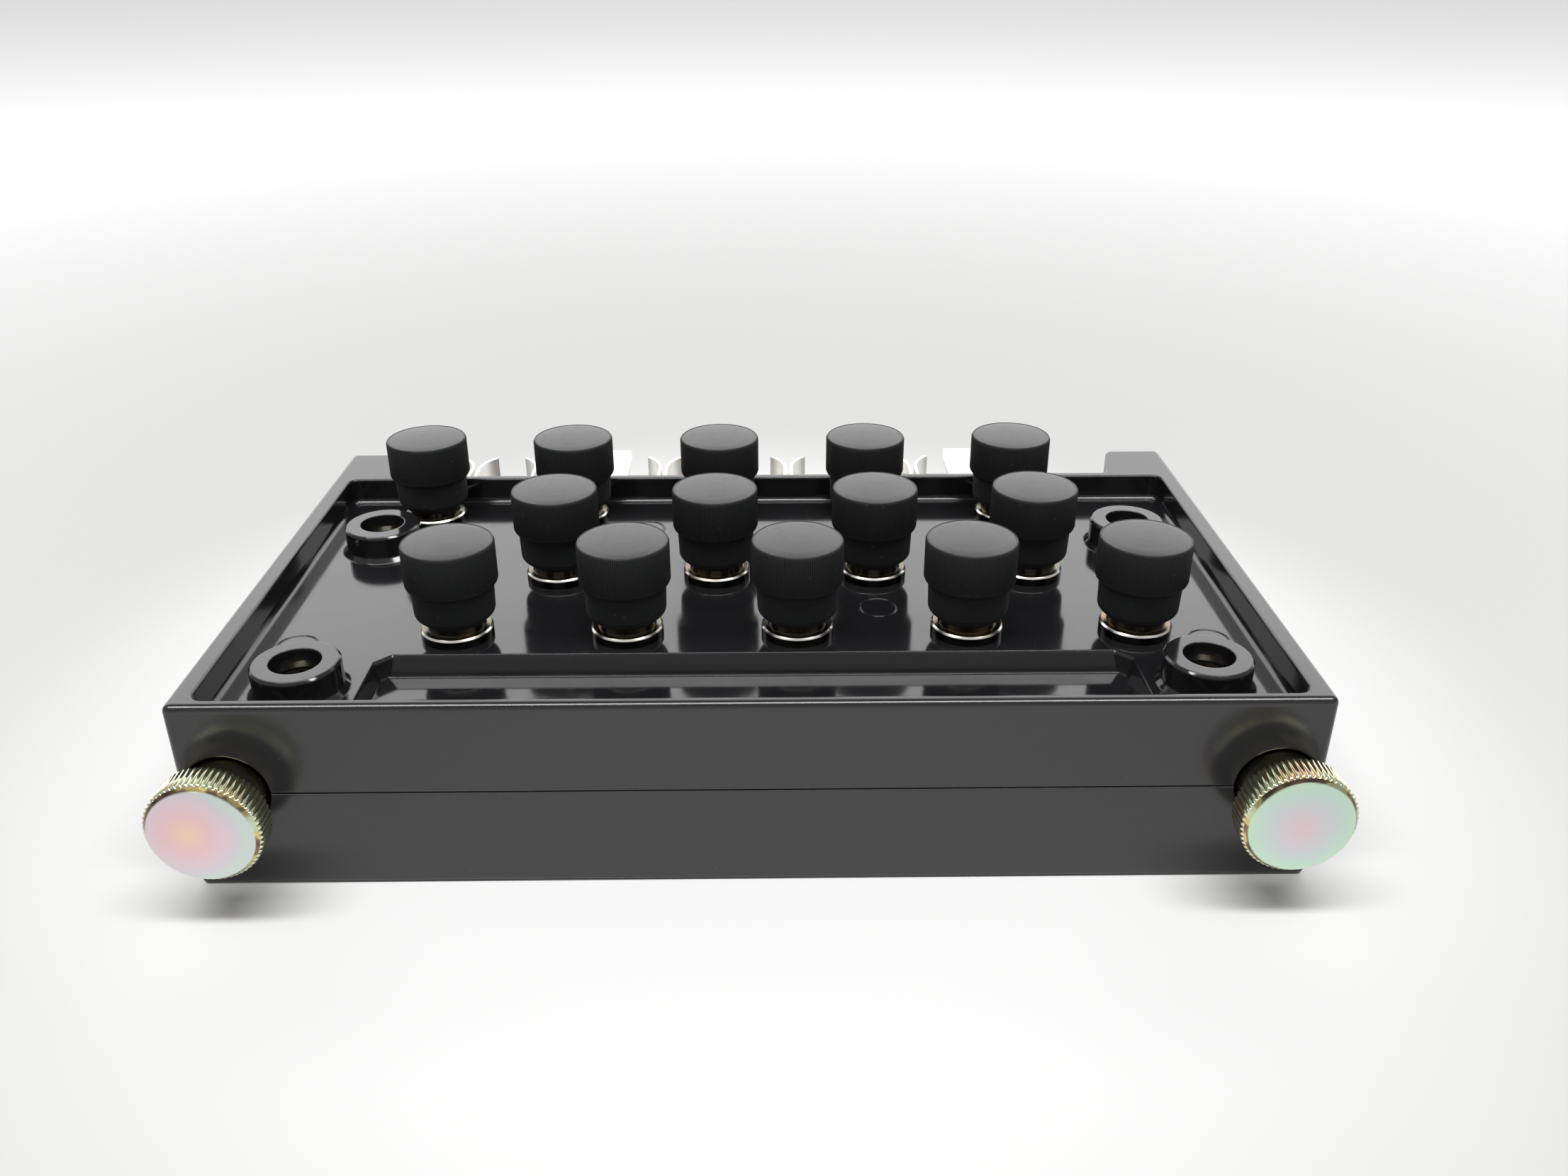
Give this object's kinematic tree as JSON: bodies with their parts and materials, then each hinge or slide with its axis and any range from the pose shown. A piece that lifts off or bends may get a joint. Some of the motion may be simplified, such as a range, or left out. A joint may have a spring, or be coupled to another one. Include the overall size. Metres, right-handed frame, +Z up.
{
  "type": "relay test plug",
  "caption": "Black moulded plug-in test block with binding posts on a recessed deck, captive thumbscrews in two rear horns and a rank of spring contacts between them.",
  "frame": {"origin": "centre of the whole part's box, on the surface it stands on", "axes": "+X to the right of someone facing the thumbscrew heads, +Y from the heads to the rear contacts, +Z up"},
  "size_m": [0.168, 0.1198, 0.0428],
  "materials": {
    "phenolic": "black phenolic moulding, satin to glossy",
    "cap_plastic": "black moulded cap, fine knurl on its sides",
    "yellow_zinc": "steel with yellow chromate over zinc",
    "nickel": "nickel-plated brass, bright",
    "brass": "turned brass",
    "spring_steel": "dark oiled spring steel",
    "copper": "half-hard copper strip",
    "silver_plate": "silver-plated spring bronze, slightly tarnished",
    "fibre_sheet": "vulcanised fibre board"
  },
  "bodies": {
    "housing": {"upper_housing": "phenolic", "lower_housing": "phenolic", "housing_screws": "yellow_zinc", "housing_nuts": "yellow_zinc", "post_studs": "brass", "post_collars": "nickel", "post_washers": "spring_steel", "post_nuts": "nickel", "link_straps": "copper", "jaw_contacts": "silver_plate", "blade_contacts": "silver_plate", "contact_rivets": "nickel", "insulating_sheet": "fibre_sheet"},
    "post_insert_01": {"insert_01": "brass"},
    "post_cap_01": {"cap_01": "cap_plastic"},
    "post_insert_02": {"insert_02": "brass"},
    "post_cap_02": {"cap_02": "cap_plastic"},
    "post_insert_03": {"insert_03": "brass"},
    "post_cap_03": {"cap_03": "cap_plastic"},
    "post_insert_04": {"insert_04": "brass"},
    "post_cap_04": {"cap_04": "cap_plastic"},
    "post_insert_05": {"insert_05": "brass"},
    "post_cap_05": {"cap_05": "cap_plastic"},
    "post_insert_06": {"insert_06": "brass"},
    "post_cap_06": {"cap_06": "cap_plastic"},
    "post_insert_07": {"insert_07": "brass"},
    "post_cap_07": {"cap_07": "cap_plastic"},
    "post_insert_08": {"insert_08": "brass"},
    "post_cap_08": {"cap_08": "cap_plastic"},
    "post_insert_09": {"insert_09": "brass"},
    "post_cap_09": {"cap_09": "cap_plastic"},
    "post_insert_10": {"insert_10": "brass"},
    "post_cap_10": {"cap_10": "cap_plastic"},
    "post_insert_11": {"insert_11": "brass"},
    "post_cap_11": {"cap_11": "cap_plastic"},
    "post_insert_12": {"insert_12": "brass"},
    "post_cap_12": {"cap_12": "cap_plastic"},
    "post_insert_13": {"insert_13": "brass"},
    "post_cap_13": {"cap_13": "cap_plastic"},
    "post_insert_14": {"insert_14": "brass"},
    "post_cap_14": {"cap_14": "cap_plastic"},
    "ring_left": {"retaining_ring_left": "spring_steel"},
    "screw_left": {"thumbscrew_left": "yellow_zinc"},
    "ring_right": {"retaining_ring_right": "spring_steel"},
    "screw_right": {"thumbscrew_right": "yellow_zinc"}
  },
  "joints": [
    {"name": "cap_01_rise", "type": "slide", "parent": "housing", "child": "post_insert_01", "axis": [0, 0, 1], "range_m": [0, 0.00556]},
    {"name": "cap_01_turn", "type": "hinge", "parent": "post_insert_01", "child": "post_cap_01", "pos_m": [-0.04767, -0.0202, 0.035], "axis": [0, 0, 1], "range_deg": [0, 2520]},
    {"name": "cap_02_rise", "type": "slide", "parent": "housing", "child": "post_insert_02", "axis": [0, 0, 1], "range_m": [0, 0.00556]},
    {"name": "cap_02_turn", "type": "hinge", "parent": "post_insert_02", "child": "post_cap_02", "pos_m": [-0.02043, -0.0202, 0.035], "axis": [0, 0, 1], "range_deg": [0, 2520]},
    {"name": "cap_03_rise", "type": "slide", "parent": "housing", "child": "post_insert_03", "axis": [0, 0, 1], "range_m": [0, 0.00556]},
    {"name": "cap_03_turn", "type": "hinge", "parent": "post_insert_03", "child": "post_cap_03", "pos_m": [0.00681, -0.0202, 0.035], "axis": [0, 0, 1], "range_deg": [0, 2520]},
    {"name": "cap_04_rise", "type": "slide", "parent": "housing", "child": "post_insert_04", "axis": [0, 0, 1], "range_m": [0, 0.00556]},
    {"name": "cap_04_turn", "type": "hinge", "parent": "post_insert_04", "child": "post_cap_04", "pos_m": [0.03405, -0.0202, 0.035], "axis": [0, 0, 1], "range_deg": [0, 2520]},
    {"name": "cap_05_rise", "type": "slide", "parent": "housing", "child": "post_insert_05", "axis": [0, 0, 1], "range_m": [0, 0.00556]},
    {"name": "cap_05_turn", "type": "hinge", "parent": "post_insert_05", "child": "post_cap_05", "pos_m": [0.06129, -0.0202, 0.035], "axis": [0, 0, 1], "range_deg": [0, 2520]},
    {"name": "cap_06_rise", "type": "slide", "parent": "housing", "child": "post_insert_06", "axis": [0, 0, 1], "range_m": [0, 0.00556]},
    {"name": "cap_06_turn", "type": "hinge", "parent": "post_insert_06", "child": "post_cap_06", "pos_m": [-0.03405, 0.0007, 0.035], "axis": [0, 0, 1], "range_deg": [0, 2520]},
    {"name": "cap_07_rise", "type": "slide", "parent": "housing", "child": "post_insert_07", "axis": [0, 0, 1], "range_m": [0, 0.00556]},
    {"name": "cap_07_turn", "type": "hinge", "parent": "post_insert_07", "child": "post_cap_07", "pos_m": [-0.00681, 0.0007, 0.035], "axis": [0, 0, 1], "range_deg": [0, 2520]},
    {"name": "cap_08_rise", "type": "slide", "parent": "housing", "child": "post_insert_08", "axis": [0, 0, 1], "range_m": [0, 0.00556]},
    {"name": "cap_08_turn", "type": "hinge", "parent": "post_insert_08", "child": "post_cap_08", "pos_m": [0.02043, 0.0007, 0.035], "axis": [0, 0, 1], "range_deg": [0, 2520]},
    {"name": "cap_09_rise", "type": "slide", "parent": "housing", "child": "post_insert_09", "axis": [0, 0, 1], "range_m": [0, 0.00556]},
    {"name": "cap_09_turn", "type": "hinge", "parent": "post_insert_09", "child": "post_cap_09", "pos_m": [0.04767, 0.0007, 0.035], "axis": [0, 0, 1], "range_deg": [0, 2520]},
    {"name": "cap_10_rise", "type": "slide", "parent": "housing", "child": "post_insert_10", "axis": [0, 0, 1], "range_m": [0, 0.00556]},
    {"name": "cap_10_turn", "type": "hinge", "parent": "post_insert_10", "child": "post_cap_10", "pos_m": [-0.06129, 0.0256, 0.035], "axis": [0, 0, 1], "range_deg": [0, 2520]},
    {"name": "cap_11_rise", "type": "slide", "parent": "housing", "child": "post_insert_11", "axis": [0, 0, 1], "range_m": [0, 0.00556]},
    {"name": "cap_11_turn", "type": "hinge", "parent": "post_insert_11", "child": "post_cap_11", "pos_m": [-0.03405, 0.0256, 0.035], "axis": [0, 0, 1], "range_deg": [0, 2520]},
    {"name": "cap_12_rise", "type": "slide", "parent": "housing", "child": "post_insert_12", "axis": [0, 0, 1], "range_m": [0, 0.00556]},
    {"name": "cap_12_turn", "type": "hinge", "parent": "post_insert_12", "child": "post_cap_12", "pos_m": [-0.00681, 0.0256, 0.035], "axis": [0, 0, 1], "range_deg": [0, 2520]},
    {"name": "cap_13_rise", "type": "slide", "parent": "housing", "child": "post_insert_13", "axis": [0, 0, 1], "range_m": [0, 0.00556]},
    {"name": "cap_13_turn", "type": "hinge", "parent": "post_insert_13", "child": "post_cap_13", "pos_m": [0.02043, 0.0256, 0.035], "axis": [0, 0, 1], "range_deg": [0, 2520]},
    {"name": "cap_14_rise", "type": "slide", "parent": "housing", "child": "post_insert_14", "axis": [0, 0, 1], "range_m": [0, 0.00556]},
    {"name": "cap_14_turn", "type": "hinge", "parent": "post_insert_14", "child": "post_cap_14", "pos_m": [0.04767, 0.0256, 0.035], "axis": [0, 0, 1], "range_deg": [0, 2520]},
    {"name": "thumbscrew_left_push", "type": "slide", "parent": "housing", "child": "ring_left", "axis": [0, 1, 0], "range_m": [0, 0.0042]},
    {"name": "thumbscrew_left_turn", "type": "hinge", "parent": "ring_left", "child": "screw_left", "pos_m": [-0.0758, 0, 0.0163], "axis": [0, 1, 0], "continuous": true},
    {"name": "thumbscrew_right_push", "type": "slide", "parent": "housing", "child": "ring_right", "axis": [0, 1, 0], "range_m": [0, 0.0042]},
    {"name": "thumbscrew_right_turn", "type": "hinge", "parent": "ring_right", "child": "screw_right", "pos_m": [0.0758, 0, 0.0163], "axis": [0, 1, 0], "continuous": true}
  ],
  "couplings": [
    {"joint": "cap_01_turn", "follows": "cap_01_rise", "rad_per_m": 7915.8},
    {"joint": "cap_02_turn", "follows": "cap_02_rise", "rad_per_m": 7915.8},
    {"joint": "cap_03_turn", "follows": "cap_03_rise", "rad_per_m": 7915.8},
    {"joint": "cap_04_turn", "follows": "cap_04_rise", "rad_per_m": 7915.8},
    {"joint": "cap_05_turn", "follows": "cap_05_rise", "rad_per_m": 7915.8},
    {"joint": "cap_06_turn", "follows": "cap_06_rise", "rad_per_m": 7915.8},
    {"joint": "cap_07_turn", "follows": "cap_07_rise", "rad_per_m": 7915.8},
    {"joint": "cap_08_turn", "follows": "cap_08_rise", "rad_per_m": 7915.8},
    {"joint": "cap_09_turn", "follows": "cap_09_rise", "rad_per_m": 7915.8},
    {"joint": "cap_10_turn", "follows": "cap_10_rise", "rad_per_m": 7915.8},
    {"joint": "cap_11_turn", "follows": "cap_11_rise", "rad_per_m": 7915.8},
    {"joint": "cap_12_turn", "follows": "cap_12_rise", "rad_per_m": 7915.8},
    {"joint": "cap_13_turn", "follows": "cap_13_rise", "rad_per_m": 7915.8},
    {"joint": "cap_14_turn", "follows": "cap_14_rise", "rad_per_m": 7915.8}
  ]
}
